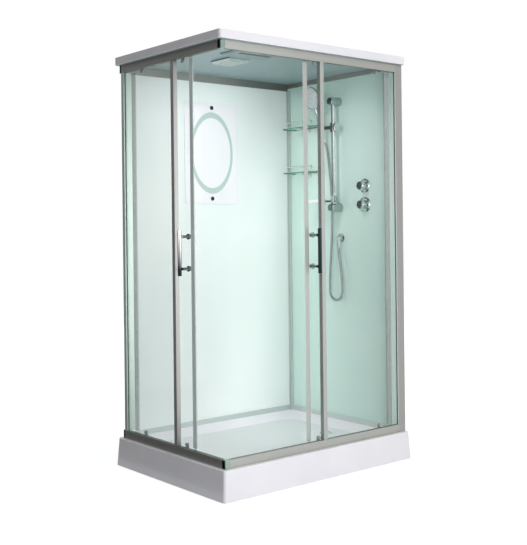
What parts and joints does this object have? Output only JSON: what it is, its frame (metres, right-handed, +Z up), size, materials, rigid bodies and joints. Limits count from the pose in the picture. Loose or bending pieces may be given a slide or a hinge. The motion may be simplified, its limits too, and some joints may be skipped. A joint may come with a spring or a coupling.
{
  "type": "shower cabin",
  "caption": "Rectangular corner shower cabin with acrylic tray, roof, glass walls, sliding corner doors, hand shower on a slide bar, shelves, mirror and wall controls.",
  "frame": {"origin": "on the floor, under the centre of the tray's base", "axes": "+Z up, +X along the long side towards the wall with the controls, +Y towards the wall with the mirror; the doors meet at the -X, -Y corner"},
  "size_m": [1.214, 0.914, 2.08],
  "materials": {
    "white_acrylic": "glossy white acrylic",
    "frame_steel": "galvanised",
    "black_plastic": "moulded",
    "grey_plastic": "moulded",
    "chrome": "polished",
    "hose_metal": "spiral-wound, polished",
    "satin_aluminium": "satin anodised",
    "clear_glass": "clear tempered glass with green edges",
    "mint_wall_glass": "back-painted mint glass",
    "seal_vinyl": "translucent vinyl",
    "carrier_plastic": "moulded",
    "roller_nylon": "moulded nylon",
    "mirror_silver": "silvered glass",
    "valve_brass": "cast and machined"
  },
  "bodies": {
    "cabin": {"shower_tray": "white_acrylic", "roof": "white_acrylic", "vent_cover": "white_acrylic", "soap_dish": "white_acrylic", "overhead_shower": "white_acrylic", "tray_support_frame": "frame_steel", "tray_feet": "black_plastic", "drain_trap": "grey_plastic", "drain_cover": "chrome", "rail_corner_caps": "chrome", "mirror_caps": "chrome", "shelf_fittings": "chrome", "slide_bar": "chrome", "slide_bar_brackets": "chrome", "hose_nut_lower": "chrome", "wall_outlet_elbow": "chrome", "valve_flanges": "chrome", "shower_hose": "hose_metal", "bottom_rail_front": "satin_aluminium", "bottom_rail_left": "satin_aluminium", "top_rail_front": "satin_aluminium", "top_rail_left": "satin_aluminium", "right_front_post": "satin_aluminium", "left_rear_post": "satin_aluminium", "wall_corner_strip": "satin_aluminium", "wall_top_rails": "satin_aluminium", "wall_bottom_rails": "satin_aluminium", "fixed_edge_profiles": "satin_aluminium", "fixed_glass_front": "clear_glass", "fixed_glass_left": "clear_glass", "glass_shelves": "clear_glass", "back_wall_panel": "mint_wall_glass", "right_wall_panel": "mint_wall_glass", "mirror": "mirror_silver", "valve_body": "valve_brass"},
    "front_door": {"front_door_glass": "clear_glass", "front_door_leading_profile": "satin_aluminium", "front_door_seals": "seal_vinyl", "front_door_handle": "chrome", "front_door_carriers": "carrier_plastic"},
    "left_door": {"left_door_glass": "clear_glass", "left_door_leading_profile": "satin_aluminium", "left_door_seals": "seal_vinyl", "left_door_handle": "chrome", "left_door_carriers": "carrier_plastic"},
    "slider": {"slider": "chrome"},
    "slider_knob": {"slider_knob": "chrome"},
    "handset": {"handset_holder": "chrome", "handset": "chrome", "hose_nut_upper": "chrome"},
    "mixer_knob": {"mixer_knob": "chrome"},
    "diverter_knob": {"diverter_knob": "chrome"},
    "front_bottom_roller_1": {"front_bottom_roller_1": "roller_nylon"},
    "front_bottom_roller_2": {"front_bottom_roller_2": "roller_nylon"},
    "front_top_roller_1": {"front_top_roller_1": "roller_nylon"},
    "front_top_roller_2": {"front_top_roller_2": "roller_nylon"},
    "left_bottom_roller_1": {"left_bottom_roller_1": "roller_nylon"},
    "left_bottom_roller_2": {"left_bottom_roller_2": "roller_nylon"},
    "left_top_roller_1": {"left_top_roller_1": "roller_nylon"},
    "left_top_roller_2": {"left_top_roller_2": "roller_nylon"}
  },
  "joints": [
    {"name": "front_door_slide", "type": "slide", "parent": "cabin", "child": "front_door", "axis": [-1, 0, 0], "range_m": [0, 0.476]},
    {"name": "left_door_slide", "type": "slide", "parent": "cabin", "child": "left_door", "axis": [0, -1, 0], "range_m": [0, 0.223]},
    {"name": "slider_slide", "type": "slide", "parent": "cabin", "child": "slider", "axis": [0, 0, 1], "range_m": [-0.26, 0.04], "deforming": ["shower_hose"]},
    {"name": "handset_tilt", "type": "hinge", "parent": "slider", "child": "handset", "pos_m": [0.507, 0.061, 1.75], "axis": [0, 1, 0], "range_deg": [-10, 22], "deforming": ["shower_hose"]},
    {"name": "slider_knob_turn", "type": "hinge", "parent": "slider", "child": "slider_knob", "pos_m": [0.507, -0.028, 1.75], "axis": [0, -1, 0], "range_deg": [-180, 180]},
    {"name": "mixer_knob_turn", "type": "hinge", "parent": "cabin", "child": "mixer_knob", "pos_m": [0.526, -0.196, 1.322], "axis": [-1, 0, 0], "range_deg": [-90, 90]},
    {"name": "diverter_knob_turn", "type": "hinge", "parent": "cabin", "child": "diverter_knob", "pos_m": [0.526, -0.196, 1.423], "axis": [-1, 0, 0], "range_deg": [-45, 45]},
    {"name": "front_bottom_roller_1_turn", "type": "hinge", "parent": "front_door", "child": "front_bottom_roller_1", "pos_m": [0.015, -0.382, 0.1532], "axis": [0, 1, 0], "range_deg": [-5, 3215]},
    {"name": "front_bottom_roller_2_turn", "type": "hinge", "parent": "front_door", "child": "front_bottom_roller_2", "pos_m": [0.439, -0.382, 0.1532], "axis": [0, 1, 0], "range_deg": [-5, 3215]},
    {"name": "front_top_roller_1_turn", "type": "hinge", "parent": "front_door", "child": "front_top_roller_1", "pos_m": [0.015, -0.382, 2.0268], "axis": [0, 1, 0], "range_deg": [-3215, 5]},
    {"name": "front_top_roller_2_turn", "type": "hinge", "parent": "front_door", "child": "front_top_roller_2", "pos_m": [0.439, -0.382, 2.0268], "axis": [0, 1, 0], "range_deg": [-3215, 5]},
    {"name": "left_bottom_roller_1_turn", "type": "hinge", "parent": "left_door", "child": "left_bottom_roller_1", "pos_m": [-0.532, -0.083, 0.1532], "axis": [1, 0, 0], "range_deg": [-1510, 5]},
    {"name": "left_bottom_roller_2_turn", "type": "hinge", "parent": "left_door", "child": "left_bottom_roller_2", "pos_m": [-0.532, 0.275, 0.1532], "axis": [1, 0, 0], "range_deg": [-1510, 5]},
    {"name": "left_top_roller_1_turn", "type": "hinge", "parent": "left_door", "child": "left_top_roller_1", "pos_m": [-0.532, -0.083, 2.0268], "axis": [1, 0, 0], "range_deg": [-5, 1510]},
    {"name": "left_top_roller_2_turn", "type": "hinge", "parent": "left_door", "child": "left_top_roller_2", "pos_m": [-0.532, 0.275, 2.0268], "axis": [1, 0, 0], "range_deg": [-5, 1510]}
  ],
  "couplings": [
    {"joint": "front_bottom_roller_1_turn", "follows": "front_door_slide", "rad_per_m": 117.65},
    {"joint": "front_bottom_roller_2_turn", "follows": "front_door_slide", "rad_per_m": 117.65},
    {"joint": "front_top_roller_1_turn", "follows": "front_door_slide", "rad_per_m": -117.65},
    {"joint": "front_top_roller_2_turn", "follows": "front_door_slide", "rad_per_m": -117.65},
    {"joint": "left_bottom_roller_1_turn", "follows": "left_door_slide", "rad_per_m": -117.65},
    {"joint": "left_bottom_roller_2_turn", "follows": "left_door_slide", "rad_per_m": -117.65},
    {"joint": "left_top_roller_1_turn", "follows": "left_door_slide", "rad_per_m": 117.65},
    {"joint": "left_top_roller_2_turn", "follows": "left_door_slide", "rad_per_m": 117.65}
  ]
}
